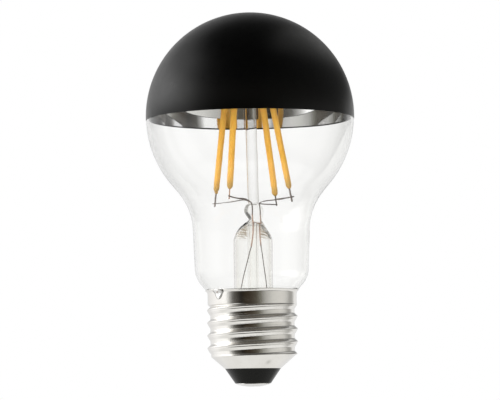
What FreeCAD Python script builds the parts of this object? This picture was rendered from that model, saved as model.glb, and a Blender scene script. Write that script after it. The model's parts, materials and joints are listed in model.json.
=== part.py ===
import FreeCAD, Part
import math
import os
from FreeCAD import Vector

# A clear LED filament bulb of the A60 shape with a 27 mm screw cap and a coated dome.
# Millimetres. The lamp axis is Z, the origin is the lowest point of the centre contact,
# and the glass is above the cap. The photograph looks along +Y, with +X on its right.

# Glass envelope
GLOBE_RADIUS = 30.0
GLOBE_CENTRE_Z = 77.7
GLASS_WALL = 0.7
GLOBE_CONE_ANGLE = 39.7          # of the glass below the globe, from the lamp axis
THROAT_RADIUS = 16.8             # of the glass where the cone has become the throat
THROAT_Z = 44.7
THROAT_TAPER = 2.1               # degrees, narrower towards the cap
THROAT_BEND = 17.8
SHOULDER_ANGLE = 40.0
SHOULDER_BEND = 7.3
RIM_GLASS_RADIUS = 13.35         # of the glass where it sits in the rim of the cap
NECK_RADIUS = 11.0               # of the straight end of the neck, inside the cap
NECK_TOP_RADIUS = 11.6
NECK_TOP_BEND = 1.2
NECK_STRAIGHT_Z = 21.5
NECK_FOOT_BEND = 3.0
NECK_END_Z = 19.5

# Coats on the dome
COAT_EDGE_Z = 76.8
BLACK_COAT = 0.08
MIRROR_COAT = 0.06

# Screw cap: sheet metal with a rolled thread
CAP_SHEET = 0.25
RIM_CLEARANCE = 0.03             # between the shoulder of the glass and the flared rim
THREAD_PITCH = 3.629
THREAD_CREST_RADIUS = 13.03
THREAD_ROOT_RADIUS = 12.1
FIRST_CREST_Z = 9.08             # of the lowest crest, on the +X side
COLLAR_RADIUS = 12.8
COLLAR_Z = 23.6
RIM_Z = 27.72
CONE_END_RADIUS = 8.05
CONE_END_Z = 5.15
CONE_SLOPE = 1.15                # radius that the cone gains for each unit of height
THREAD_START_Z = 8.4
THREAD_FADE_IN = 0.9
THREAD_FADE_OUT_Z = 22.3
THREAD_FADE_OUT = 1.2
THREAD_SHARPNESS = 3.6           # above 1 makes the crests narrower than the grooves
THREAD_SLICES = 69               # level sections that the thread's outside is lofted through
BORE_SLICES = 45                 # and those of the inside of its sheet
SLICE_POINTS = 24
SLICE_JOIN = 0.002               # how closely the thread meets cone and rim

# Drop of solder over the rim: half widths and heights about its middle
SOLDER_DROP = [(0, -1.75), (0.62, -1.1), (1.5, 0.25), (1.0, 0.95), (0, 1.15)]
SOLDER_RADIUS = 13.05
SOLDER_Z = 26.9
SOLDER_FLATNESS = 0.5

# Insulator and centre contact
INSULATOR_TOP_RADIUS = 7.85
INSULATOR_TOP_Z = 4.9
INSULATOR_FOOT_RADIUS = 5.12
INSULATOR_FOOT_Z = 0.9
INSULATOR_INSIDE_Z = 7.0
HOLLOW_RADIUS = 6.2
HOLLOW_Z = 4.2                   # floor of the hollow in the insulator's top
CONTACT_RADIUS = 4.9
CONTACT_DOME_RADIUS = 15.5
CONTACT_FLAT_RADIUS = 1.5
CONTACT_SHEET = 0.35
EYELET_RADIUS = 1.9
EYELET_LIP_RADIUS = 2.5
EYELET_BORE = 1.2
EYELET_TOP_Z = 4.5

# Stem of pressed glass, a little to the right of the lamp axis as in the photograph
STEM_SHIFT = Vector(0.43, 0, 0)
FLARE_RADIUS = 5.6
FLARE_WALL = 0.6
FLARE_TOP_Z = 42.2
FLARE_BEND_Z = 25.2
FLARE_BEND = 7.0
FLARE_REACH = 11.3               # of the flare's edge before it is trimmed to the neck
FLARE_EDGE_Z = 19.8
PRESS_ANGLE = 53.0               # of the pressed part's wide direction, from +X
EXHAUST_RADIUS = 1.55
EXHAUST_BORE = 1.0
EXHAUST_TOP_Z = 46.5
EXHAUST_TIP_Z = 15.5

# Pressed part of the stem: level, half width, half depth and centre of its sections
PRESS_OUTSIDE = [
    (42.2, 5.6, 5.6, 0.0, 0.0),
    (43.7, 5.35, 4.8, 0.0, 0.0),
    (45.3, 4.9, 3.4, 0.05, 0.0),
    (46.7, 3.9, 2.0, 0.4, -0.15),
    (47.8, 2.55, 1.35, 0.75, -0.35),
    (48.6, 3.1, 1.5, 0.65, -0.25),
    (50.2, 3.95, 1.8, 0.35, -0.1),
    (51.5, 3.7, 1.6, 0.35, 0.0),
    (52.3, 2.7, 1.15, 0.35, 0.0),
]
PRESS_HOLLOW = [
    (42.2, 5.0, 5.0, 0.0, 0.0),
    (43.7, 4.6, 4.05, 0.0, 0.0),
    (45.2, 4.0, 2.5, 0.05, 0.0),
    (46.4, 3.0, 1.0, 0.35, -0.15),
    (46.9, 2.1, 0.35, 0.45, -0.2),
]

# Glass rod, leaning a little as in the photograph
ROD_RADIUS = 1.6
ROD_FOOT = Vector(0.7, 0, 51.9)
ROD_HEAD = Vector(0, 0, 91.2)
BUTTON_RADIUS = 2.3

# Filaments: angle, radius and level of each foot, its tab's length and how far down the weld is
FILAMENT_FEET = {
    "back_left": (148.0, 12.0, 56.3, 4.1, 3.1),
    "front_left": (241.5, 12.55, 56.05, 3.0, 2.2),
    "back_right": (55.5, 12.65, 55.5, 3.0, 2.55),
    "front_right": (329.8, 12.7, 56.3, 3.85, 2.45),
}
FILAMENT_LENGTH = 34.0
HEAD_RING_RADIUS = 6.5
HEAD_RING_X = -0.8
FILAMENT_SECTIONS = [            # distance from the foot, half width and half depth
    (0.0, 0.45, 0.42),
    (0.9, 0.82, 0.74),
    (3.2, 0.92, 0.83),
    (17.0, 1.1, 1.02),
    (30.5, 1.12, 1.04),
    (33.2, 0.88, 0.82),
    (FILAMENT_LENGTH, 0.5, 0.45),
]
HEAD_TAB_LENGTH = 3.6
HEAD_WELD_REACH = 2.7
TAB_WIDTH = 0.6
TAB_THICKNESS = 0.25
WELD_SINK = 0.05                 # how far a wire bites into the tab that it is welded to

# Wires
LEAD_WIRE = 0.2
BRANCH_WIRE = 0.15
OUTER_WIRE = 0.14
LEFT_SEAL = Vector(0.25, -1.9, 49.3)
RIGHT_SEAL = Vector(2.25, 1.1, 49.3)
SEAL_BEND = 8.0
OUTER_BEND = 6.0
PAD_BEND_Z = 19.0                # where an outer lead turns down to its pad
WIRE_OVERRUN = 0.7               # of a wire's end beyond its tab

# Driver in the cap
BOARD_RADIUS = 11.2
BOARD_THICKNESS = 1.0
SIDE_WIRE_ANGLE = 222.0
LIVE_WIRE_FOOT_Z = 1.4
LIVE_WIRE_OVER_BOARD = 0.4

AXIS = Vector(0, 0, 1)
ORIGIN = Vector(0, 0, 0)


def polar(radius, angle, z):
    """A point at a radius and an angle in degrees about the lamp axis."""
    turn = math.radians(angle)
    return Vector(radius * math.cos(turn), radius * math.sin(turn), z)


def section(radius, z):
    """A point of a turned outline."""
    return Vector(radius, 0, z)


def rounded_path(corners):
    """Edges along corners of (point, bend radius), each bend an arc tangent to its two runs."""
    edges = []
    start = corners[0][0]
    for number in range(1, len(corners) - 1):
        corner, bend = corners[number]
        incoming = (corner - corners[number - 1][0]).normalize()
        outgoing = (corners[number + 1][0] - corner).normalize()
        turn = incoming.getAngle(outgoing)
        setback = bend * math.tan(turn / 2)
        arc_start = corner - incoming * setback
        arc_end = corner + outgoing * setback
        inward = (outgoing - incoming).normalize()
        arc_middle = corner + inward * (bend / math.cos(turn / 2) - bend)
        edges.append(Part.LineSegment(start, arc_start).toShape())
        edges.append(Part.Arc(arc_start, arc_middle, arc_end).toShape())
        start = arc_end
    edges.append(Part.LineSegment(start, corners[-1][0]).toShape())
    return edges


def outline(points):
    """Straight edges through points of a turned outline."""
    return [Part.LineSegment(a, b).toShape() for a, b in zip(points, points[1:])]


def spin(edges):
    """The solid that a closed outline sweeps round the lamp axis."""
    ends = Part.Wire(edges).OrderedVertexes
    first, last = ends[0].Point, ends[-1].Point
    if first.distanceToPoint(last) > 1e-6:
        edges = edges + [Part.LineSegment(last, first).toShape()]
    solid = Part.Face(Part.Wire(edges)).revolve(ORIGIN, AXIS, 360)
    if solid.Volume < 0:
        solid.reverse()
    return solid


def spin_to_axis(edges):
    """The solid inside an open outline whose ends are joined over the lamp axis."""
    first = edges[0].Vertexes[0].Point
    last = edges[-1].Vertexes[-1].Point
    closing = [last, section(0, last.z), section(0, first.z), first]
    runs = [pair for pair in zip(closing, closing[1:]) if pair[0].distanceToPoint(pair[1]) > 1e-6]
    return spin(edges + [Part.LineSegment(a, b).toShape() for a, b in runs])


def bent_wire(corners, radius):
    """A round wire along straight runs and tangent bends."""
    spine = Part.Wire(rounded_path(corners))
    heading = corners[1][0] - corners[0][0]
    profile = Part.Wire(Part.Circle(corners[0][0], heading, radius).toShape())
    return spine.makePipeShell([profile], True, False)


def oval(z, half_width, half_depth, angle, centre_x=0.0, centre_y=0.0):
    """A level elliptical section whose wide direction stands at an angle from +X."""
    centre = Vector(centre_x, centre_y, z)
    wide = centre + polar(half_width, angle, 0)
    deep = centre + polar(half_depth, angle + 90, 0)
    return Part.Wire(Part.Ellipse(wide, deep, centre).toShape())


def loft(sections):
    """A solid through level sections, straight from each to the next."""
    return Part.makeLoft(sections, True, True)


def stand(shape, foot, head):
    """The shape, built upwards from the origin, moved to stand from foot towards head."""
    turn = FreeCAD.Rotation(AXIS, head - foot)
    moved = shape.copy()
    moved.Placement = FreeCAD.Placement(foot, turn)
    return moved


def glass_line():
    """The outer outline of the glass, from the top of the globe down to the neck's end."""
    cone = math.radians(GLOBE_CONE_ANGLE)
    centre = section(0, GLOBE_CENTRE_Z)
    top = section(0, GLOBE_CENTRE_Z + GLOBE_RADIUS)
    side = section(GLOBE_RADIUS * math.cos(cone / 2), GLOBE_CENTRE_Z + GLOBE_RADIUS * math.sin(cone / 2))
    leaves = centre + section(GLOBE_RADIUS * math.cos(cone), -GLOBE_RADIUS * math.sin(cone))
    globe = Part.Arc(top, side, leaves).toShape()

    cone_slope = math.tan(cone)
    throat_slope = math.tan(math.radians(THROAT_TAPER))
    shoulder_slope = math.tan(math.radians(SHOULDER_ANGLE))

    # Where the cone below the globe would meet the throat, and the throat the shoulder
    throat_top_z = (THROAT_RADIUS - throat_slope * THROAT_Z - leaves.x + cone_slope * leaves.z)
    throat_top_z = throat_top_z / (cone_slope - throat_slope)
    throat_top = section(leaves.x - (leaves.z - throat_top_z) * cone_slope, throat_top_z)
    throat_foot_z = RIM_GLASS_RADIUS - shoulder_slope * RIM_Z - THROAT_RADIUS + throat_slope * THROAT_Z
    throat_foot_z = throat_foot_z / (throat_slope - shoulder_slope)
    throat_foot = section(THROAT_RADIUS + (throat_foot_z - THROAT_Z) * throat_slope, throat_foot_z)
    neck_top = section(NECK_TOP_RADIUS, RIM_Z - (RIM_GLASS_RADIUS - NECK_TOP_RADIUS) / shoulder_slope)

    below = rounded_path([
        (leaves, 0),
        (throat_top, THROAT_BEND),
        (throat_foot, SHOULDER_BEND),
        (neck_top, NECK_TOP_BEND),
        (section(NECK_RADIUS, NECK_STRAIGHT_Z), NECK_FOOT_BEND),
        (section(NECK_RADIUS, NECK_END_Z), 0),
    ])
    return [globe] + below


def glass_envelope():
    """The blown envelope: its outline and the same line one wall further in, turned."""
    line = Part.Wire(glass_line())
    wall = line.makeOffset2D(-GLASS_WALL, 0, True, True)
    if wall.BoundBox.XMax > GLOBE_RADIUS + 0.01:
        wall = line.makeOffset2D(GLASS_WALL, 0, True, True)
    return wall.revolve(ORIGIN, AXIS, 360)


def glass_block():
    """All the space inside the outside of the glass."""
    return spin_to_axis(glass_line())


def dome_coat(outer_radius, thickness):
    """A coat on the dome, down to the level of its sharp edge."""
    inner_radius = outer_radius - thickness
    shell = Part.makeSphere(outer_radius).cut(Part.makeSphere(inner_radius))
    shell.translate(Vector(0, 0, GLOBE_CENTRE_Z))
    above = Part.makeCylinder(2 * outer_radius, 2 * outer_radius, Vector(0, 0, COAT_EDGE_Z))
    return shell.common(above)


def ease(value):
    """0 below 0, 1 above 1, and a smooth step between."""
    value = min(max(value, 0.0), 1.0)
    return value * value * (3 - 2 * value)


def thread_radius(angle, z):
    """The outside of the rolled thread: a right-handed wave that fades into cone and collar."""
    middle = (THREAD_CREST_RADIUS + THREAD_ROOT_RADIUS) / 2
    depth = (THREAD_CREST_RADIUS - THREAD_ROOT_RADIUS) / 2
    start_radius = CONE_END_RADIUS + CONE_SLOPE * (THREAD_START_Z - CONE_END_Z)
    rise = 2 * (middle - start_radius)
    low = min((z - THREAD_START_Z) / rise, 1.0)
    base = middle - (middle - start_radius) * (1 - low) ** 2
    fading = (z - THREAD_FADE_OUT_Z) / (COLLAR_Z - THREAD_FADE_OUT_Z)
    base += (COLLAR_RADIUS - middle) * ease(fading)
    swell = ease((z - THREAD_START_Z) / THREAD_FADE_IN)
    swell *= 1 - ease((z - THREAD_FADE_OUT_Z) / THREAD_FADE_OUT)
    phase = 2 * math.pi * (z - FIRST_CREST_Z) / THREAD_PITCH - math.radians(angle)
    wave = 2 * ((1 + math.cos(phase)) / 2) ** THREAD_SHARPNESS - 1
    return base + depth * swell * wave


def thread_slice(z, inset):
    """A level, nearly round section of the thread's skin, or of the inside of its sheet."""
    small = 0.001
    ring = []
    for number in range(SLICE_POINTS):
        angle = 360 * number / SLICE_POINTS
        slope = (thread_radius(angle, z + small) - thread_radius(angle, z - small)) / (2 * small)
        ring.append(polar(thread_radius(angle, z) - inset * math.hypot(1, slope), angle, z))
    curve = Part.BSplineCurve()
    curve.interpolate(Points=ring, PeriodicFlag=True)
    return Part.Wire(curve.toShape())


def cap_rim_points(inset):
    """Collar and flared rim: the rim follows the shoulder of the glass."""
    shoulder = math.radians(SHOULDER_ANGLE)
    offset = RIM_CLEARANCE + CAP_SHEET - inset
    edge = section(RIM_GLASS_RADIUS, RIM_Z) + section(math.cos(shoulder), -math.sin(shoulder)) * offset
    collar = COLLAR_RADIUS - inset
    bend = section(collar, edge.z - (edge.x - collar) / math.tan(shoulder))
    return [section(collar, COLLAR_Z), bend, edge]


def cone_radius(z, inset):
    """The cone's outside, or the inside of its sheet, at a level."""
    return CONE_END_RADIUS + CONE_SLOPE * (z - CONE_END_Z) - inset * math.hypot(1, CONE_SLOPE)


def cap_body(inset, slices):
    """All the space inside the cap's skin, or inside its sheet: cone, thread, collar and rim."""
    step = (COLLAR_Z - THREAD_START_Z) / (slices - 1)
    thread = loft([thread_slice(THREAD_START_Z + step * row, inset) for row in range(slices)])
    cone_end = section(cone_radius(CONE_END_Z, inset), CONE_END_Z)
    cone_top = section(cone_radius(THREAD_START_Z, inset), THREAD_START_Z)
    cone = spin_to_axis(outline([cone_end, cone_top]))
    rim = spin_to_axis(outline(cap_rim_points(inset)))
    return thread.fuse([cone, rim], SLICE_JOIN)


def cap_shell():
    """The cap: one sheet, from the foot of the cone through the rolled thread to the flared rim."""
    bore = cap_body(CAP_SHEET, BORE_SLICES)
    return cap_body(0, THREAD_SLICES).cut(bore).cut(rim_notch())


def side_wire():
    """The wire from the driver board up between neck and cap, and out over the rim."""
    bend = 0.35
    return bent_wire([
        (polar(10.3, SIDE_WIRE_ANGLE, board_top()), 0),
        (polar(11.45, SIDE_WIRE_ANGLE, 13.5), 2.0),
        (polar(11.45, SIDE_WIRE_ANGLE, 22.6), 1.5),
        (polar(12.25, SIDE_WIRE_ANGLE, 24.6), 1.5),
        (polar(12.25, SIDE_WIRE_ANGLE, 26.15), bend),
        (polar(13.45, SIDE_WIRE_ANGLE, 27.55), bend),
        (polar(13.45, SIDE_WIRE_ANGLE, 26.6), 0),
    ], OUTER_WIRE)


def rim_notch():
    """The slot in the flared rim that the side wire comes out through."""
    width = 2 * OUTER_WIRE + 0.1
    slot = Part.makeBox(2.4, width, 2.2, Vector(11.75, -width / 2, 25.75))
    slot.rotate(ORIGIN, AXIS, SIDE_WIRE_ANGLE)
    return slot


def side_solder(cap_outside, glass, wire):
    """A flattened drop of solder over the rim, seated on the sheet and round the wire."""
    drop = Part.BSplineCurve()
    drop.interpolate([section(half_width, height) for half_width, height in SOLDER_DROP])
    turned = spin_to_axis([drop.toShape()])
    flat = FreeCAD.Matrix()
    flat.scale(SOLDER_FLATNESS, 1.0, 1.0)
    blob = turned.transformGeometry(flat)
    blob.rotate(ORIGIN, AXIS, SIDE_WIRE_ANGLE)
    blob.translate(polar(SOLDER_RADIUS, SIDE_WIRE_ANGLE, SOLDER_Z))
    return blob.cut(cap_outside).cut(glass).cut(wire)


def cap_block():
    """All the space inside the outside of collar and rim."""
    return spin_to_axis(outline(cap_rim_points(0)))


def cap_cement(glass, wire):
    """The ring of cement between neck and collar."""
    collar = cap_rim_points(CAP_SHEET)
    ring = Part.makeCylinder(collar[0].x, collar[1].z - COLLAR_Z, Vector(0, 0, COLLAR_Z))
    return ring.cut(glass).cut(wire)


def insulator():
    """The black insulator: a cone outside, a plug inside the sheet and a hollow top."""
    return spin(outline([
        section(EYELET_RADIUS, INSULATOR_FOOT_Z),
        section(INSULATOR_FOOT_RADIUS, INSULATOR_FOOT_Z),
        section(INSULATOR_TOP_RADIUS, INSULATOR_TOP_Z),
        section(INSULATOR_TOP_RADIUS + 0.2, CONE_END_Z),
        section(cone_radius(CONE_END_Z, CAP_SHEET), CONE_END_Z),
        section(cone_radius(INSULATOR_INSIDE_Z, CAP_SHEET), INSULATOR_INSIDE_Z),
        section(HOLLOW_RADIUS, INSULATOR_INSIDE_Z),
        section(HOLLOW_RADIUS, HOLLOW_Z),
        section(EYELET_RADIUS, HOLLOW_Z),
    ]))


def contact_height(radius):
    """Height of the contact's dome over its flat middle."""
    return (radius ** 2 - CONTACT_FLAT_RADIUS ** 2) / (2 * CONTACT_DOME_RADIUS)


def centre_contact():
    """The centre contact: a shallow dome with a flat middle and an eyelet up through the insulator."""
    between = (CONTACT_FLAT_RADIUS + CONTACT_RADIUS) / 2
    rim_drop = contact_height(CONTACT_RADIUS)
    flat = Part.LineSegment(section(0, 0), section(CONTACT_FLAT_RADIUS, 0)).toShape()
    dome = Part.Arc(section(CONTACT_FLAT_RADIUS, 0), section(between, contact_height(between)),
                    section(CONTACT_RADIUS, rim_drop)).toShape()
    rest = outline([
        section(CONTACT_RADIUS, rim_drop),
        section(CONTACT_RADIUS, INSULATOR_FOOT_Z),
        section(EYELET_RADIUS, INSULATOR_FOOT_Z),
        section(EYELET_RADIUS, HOLLOW_Z),
        section(EYELET_LIP_RADIUS, HOLLOW_Z),
        section(EYELET_LIP_RADIUS, EYELET_TOP_Z),
        section(EYELET_BORE, EYELET_TOP_Z),
        section(EYELET_BORE, CONTACT_SHEET),
        section(0, CONTACT_SHEET),
    ])
    return spin([flat, dome] + rest)


def press(sizes):
    """A loft through sections of the stem's top, where the tube flattens to the pressed part."""
    return loft([oval(z, wide, deep, PRESS_ANGLE, x, y) for z, wide, deep, x, y in sizes])


def stem_flare(sunk):
    """The stem: a flared tube, closed by the pressed part, with room for what is sealed in it."""
    line = Part.Wire(rounded_path([
        (section(FLARE_RADIUS, FLARE_TOP_Z), 0),
        (section(FLARE_RADIUS, FLARE_BEND_Z), FLARE_BEND),
        (section(FLARE_REACH, FLARE_EDGE_Z), 0),
    ]))
    wall = line.makeOffset2D(FLARE_WALL, 0, True, True)
    if wall.BoundBox.XMin > FLARE_RADIUS - FLARE_WALL / 2:
        wall = line.makeOffset2D(-FLARE_WALL, 0, True, True)
    tube = wall.revolve(ORIGIN, AXIS, 360)
    top = press(PRESS_OUTSIDE).cut(press(PRESS_HOLLOW))
    stem = tube.fuse(top).removeSplitter()
    stem.translate(STEM_SHIFT)
    neck_bore = NECK_RADIUS - GLASS_WALL
    stem = stem.common(Part.makeCylinder(neck_bore, ROD_FOOT.z + neck_bore))
    for piece in sunk:
        stem = stem.cut(piece)
    return stem


def exhaust_tube():
    """The exhaust tube, open at the pressed part and melted shut at its lower tip."""
    tip = section(0, EXHAUST_TIP_Z)
    round_z = EXHAUST_TIP_Z + EXHAUST_RADIUS
    half = math.sqrt(0.5)
    outer_tip = Part.Arc(tip, section(EXHAUST_RADIUS * half, round_z - EXHAUST_RADIUS * half),
                         section(EXHAUST_RADIUS, round_z)).toShape()
    inner_half = section(EXHAUST_BORE * half, round_z - EXHAUST_BORE * half)
    inner_tip = Part.Arc(section(EXHAUST_BORE, round_z), inner_half,
                         section(0, round_z - EXHAUST_BORE)).toShape()
    sides = outline([
        section(EXHAUST_RADIUS, round_z),
        section(EXHAUST_RADIUS, EXHAUST_TOP_Z),
        section(EXHAUST_BORE, EXHAUST_TOP_Z),
        section(EXHAUST_BORE, round_z),
    ])
    tube = spin([outer_tip] + sides + [inner_tip])
    tube.translate(STEM_SHIFT)
    return tube


def centre_rod(links):
    """The glass rod, with a round foot and a button on top that holds the link wires."""
    height = (ROD_HEAD - ROD_FOOT).Length
    half = math.sqrt(0.5)
    foot = Part.Arc(section(0, 0), section(ROD_RADIUS * half, ROD_RADIUS * (1 - half)),
                    section(ROD_RADIUS, ROD_RADIUS)).toShape()
    side = Part.LineSegment(section(ROD_RADIUS, ROD_RADIUS), section(ROD_RADIUS, height)).toShape()
    rod = spin_to_axis([foot, side])
    button = Part.makeSphere(BUTTON_RADIUS, Vector(0, 0, height))
    rod = stand(rod.fuse(button), ROD_FOOT, ROD_HEAD)
    for wire in links:
        rod = rod.cut(wire)
    return rod


def filament_ends(name):
    """The foot and the head of a filament's coated body."""
    angle, radius, foot_z = FILAMENT_FEET[name][:3]
    foot = polar(radius, angle, foot_z)
    head_ring = polar(HEAD_RING_RADIUS, angle, 0) + Vector(HEAD_RING_X, 0, 0)
    level = math.hypot(head_ring.x - foot.x, head_ring.y - foot.y)
    head = Vector(head_ring.x, head_ring.y, foot.z + math.sqrt(FILAMENT_LENGTH ** 2 - level ** 2))
    return foot, head


def led_filament(name):
    """A filament's body: a slim oval bar of phosphor that tapers at both ends."""
    foot, head = filament_ends(name)
    angle = FILAMENT_FEET[name][0] + 90
    body = loft([oval(z, wide, deep, angle) for z, wide, deep in FILAMENT_SECTIONS])
    return stand(body, foot, head)


def tab_centre(name, top):
    """The middle of the stretch of a tab that its wire is welded to."""
    foot, head = filament_ends(name)
    along = (head - foot).normalize()
    return head + along * HEAD_WELD_REACH if top else foot - along * FILAMENT_FEET[name][4]


def welded_end(name, start, radius, top=False):
    """Where a wire from start ends: past its tab, and lying on the tab's side."""
    middle = tab_centre(name, top)
    level = Vector(middle.x - start.x, middle.y - start.y, 0).normalize()
    aside = AXIS.cross(level) * (TAB_THICKNESS / 2 + radius - WELD_SINK)
    return middle + aside, middle + aside + level * WIRE_OVERRUN


def filament_tab(name, top, start, wire):
    """A flat metal tab on a filament's end, its broad side along the wire welded to it."""
    foot, head = filament_ends(name)
    along = (head - foot).normalize()
    middle = tab_centre(name, top)
    level = Vector(middle.x - start.x, middle.y - start.y, 0)
    angle = math.degrees(math.atan2(level.y, level.x))
    length = HEAD_TAB_LENGTH if top else FILAMENT_FEET[name][3]
    corner = Vector(-TAB_WIDTH / 2, -TAB_THICKNESS / 2, 0)
    tab = Part.makeBox(TAB_WIDTH, TAB_THICKNESS, length, corner)
    tab.rotate(ORIGIN, AXIS, angle)
    below = head if top else foot - along * length
    return stand(tab, below, below + along).cut(wire)


def arm(name, seal, turn_z, radius, bend):
    """A lead wire from the pressed part, bent over towards a filament and welded to its tab."""
    turn = Vector(seal.x, seal.y, turn_z)
    weld, end = welded_end(name, turn, radius)
    return bent_wire([(seal, 0), (turn, bend), (weld, 1.0), (end, 0)], radius)


def branch(name, corners, radius):
    """A branch wire from the side of a lead wire to the tab of a filament behind."""
    weld, end = welded_end(name, corners[-1][0], radius)
    return bent_wire(corners + [(weld, 1.0), (end, 0)], radius)


def link(left, right, aside):
    """A link wire between two heads, through the button of the rod."""
    entry = ROD_HEAD + Vector(-1.2, aside, 0.3)
    leave = ROD_HEAD + Vector(1.2, aside, 0.3)
    left_weld, left_end = welded_end(left, entry, BRANCH_WIRE, True)
    right_weld, right_end = welded_end(right, leave, BRANCH_WIRE, True)
    return bent_wire([
        (left_end, 0),
        (left_weld, 0.5),
        (entry, 0.6),
        (leave, 0.6),
        (right_weld, 0.5),
        (right_end, 0),
    ], BRANCH_WIRE)


def board_top():
    """Level of the board's upper face: its lower edge rests on the cone of the sheet."""
    lowest = cone_radius(CONE_END_Z, CAP_SHEET)
    return CONE_END_Z + (BOARD_RADIUS - lowest) / CONE_SLOPE + BOARD_THICKNESS


def driver_board():
    """The round driver board, with a hole for the live wire."""
    level = board_top() - BOARD_THICKNESS
    board = Part.makeCylinder(BOARD_RADIUS, BOARD_THICKNESS, Vector(0, 0, level))
    return board.cut(Part.makeCylinder(OUTER_WIRE, BOARD_THICKNESS, Vector(0, 0, level)))


def chip(length, width, height, x, y, turn):
    """A small moulded package with chamfered top edges, on the board."""
    body = Part.makeBox(length, width, height, Vector(-length / 2, -width / 2, 0))
    top = [edge for edge in body.Edges if edge.CenterOfMass.z > height - 0.01]
    body = body.makeChamfer(0.2, top)
    body.rotate(ORIGIN, AXIS, turn)
    body.translate(Vector(x, y, board_top()))
    return body


def smoothing_capacitor():
    """An upright can capacitor with a rolled groove near its foot."""
    can = spin_to_axis(outline([
        section(0, 0),
        section(2.5, 0),
        section(2.5, 0.9),
        section(2.3, 1.2),
        section(2.5, 1.5),
        section(2.5, 6.8),
        section(2.3, 7.0),
        section(0, 7.0),
    ]))
    can.translate(Vector(5.4, 4.6, board_top()))
    return can


def drum_coil():
    """A drum coil: two flanges with the winding between them."""
    coil = spin_to_axis(outline([
        section(0, 0), section(2.4, 0), section(2.4, 0.7), section(2.1, 0.7),
        section(2.1, 3.1), section(2.4, 3.1), section(2.4, 3.8), section(0, 3.8),
    ]))
    coil.translate(Vector(4.4, -6.2, board_top()))
    return coil


def fuse_resistor():
    """A lying resistor with swollen ends, on the board."""
    body = spin_to_axis(outline([
        section(0, -3.0),
        section(0.9, -3.0),
        section(1.1, -2.7),
        section(1.1, -2.0),
        section(0.9, -1.6),
        section(0.9, 1.6),
        section(1.1, 2.0),
        section(1.1, 2.7),
        section(0.9, 3.0),
        section(0, 3.0),
    ]))
    body.rotate(ORIGIN, Vector(1, 0, 0), 90)
    body.rotate(ORIGIN, AXIS, 80)
    body.translate(Vector(-4.4, 6.8, board_top() + 1.1))
    return body


def outer_lead(points, pad):
    """A thin wire from a seal wire down the flare to its pad on the board."""
    corners = [(point, OUTER_BEND) for point in points]
    corners.append((Vector(pad.x, pad.y, PAD_BEND_Z), OUTER_BEND / 2))
    corners.append((Vector(pad.x, pad.y, board_top()), 0))
    return bent_wire(corners, OUTER_WIRE)


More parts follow.
